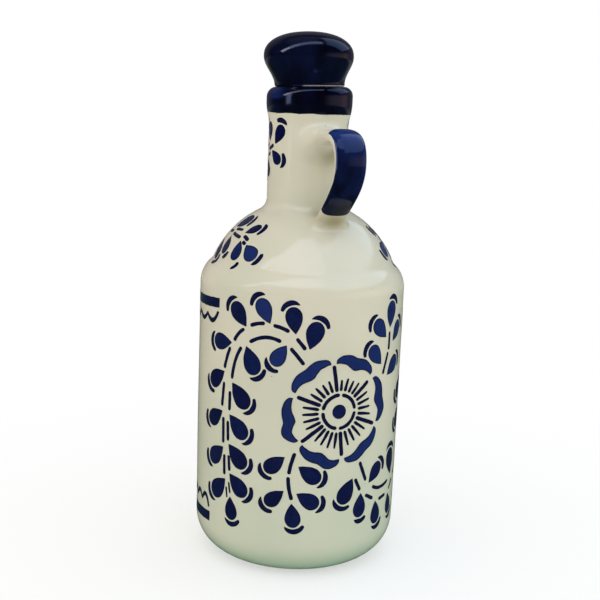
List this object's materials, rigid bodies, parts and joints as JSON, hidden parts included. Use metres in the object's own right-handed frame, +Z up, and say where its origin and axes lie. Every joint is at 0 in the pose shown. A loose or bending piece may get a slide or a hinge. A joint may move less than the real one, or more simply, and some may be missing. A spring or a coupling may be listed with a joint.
{
  "type": "ceramic oil bottle",
  "caption": "Glazed ceramic oil bottle with a straight barrel, domed shoulder, strap handle on the neck and a lift-out knob stopper on a cork, painted with blue sprays.",
  "frame": {"origin": "centre of the foot ring, on the surface that the bottle stands on", "axes": "+Z up the bottle's axis to the stopper; the handle points along -Y; +X is to the right of someone who faces the handle"},
  "size_m": [0.092, 0.092, 0.2355],
  "materials": {
    "white_glaze": "glossy warm white glaze over cast clay",
    "cobalt_glaze": "glossy deep cobalt blue glaze",
    "cork": "matt natural cork"
  },
  "bodies": {
    "bottle": {"bottle_body": "white_glaze", "handle": "cobalt_glaze"},
    "stopper": {"stopper_knob": "cobalt_glaze", "stopper_cork": "cork"}
  },
  "joints": [
    {"name": "stopper_lift", "type": "slide", "parent": "bottle", "child": "stopper", "axis": [0, 0, 1], "range_m": [0, 0.035]}
  ]
}
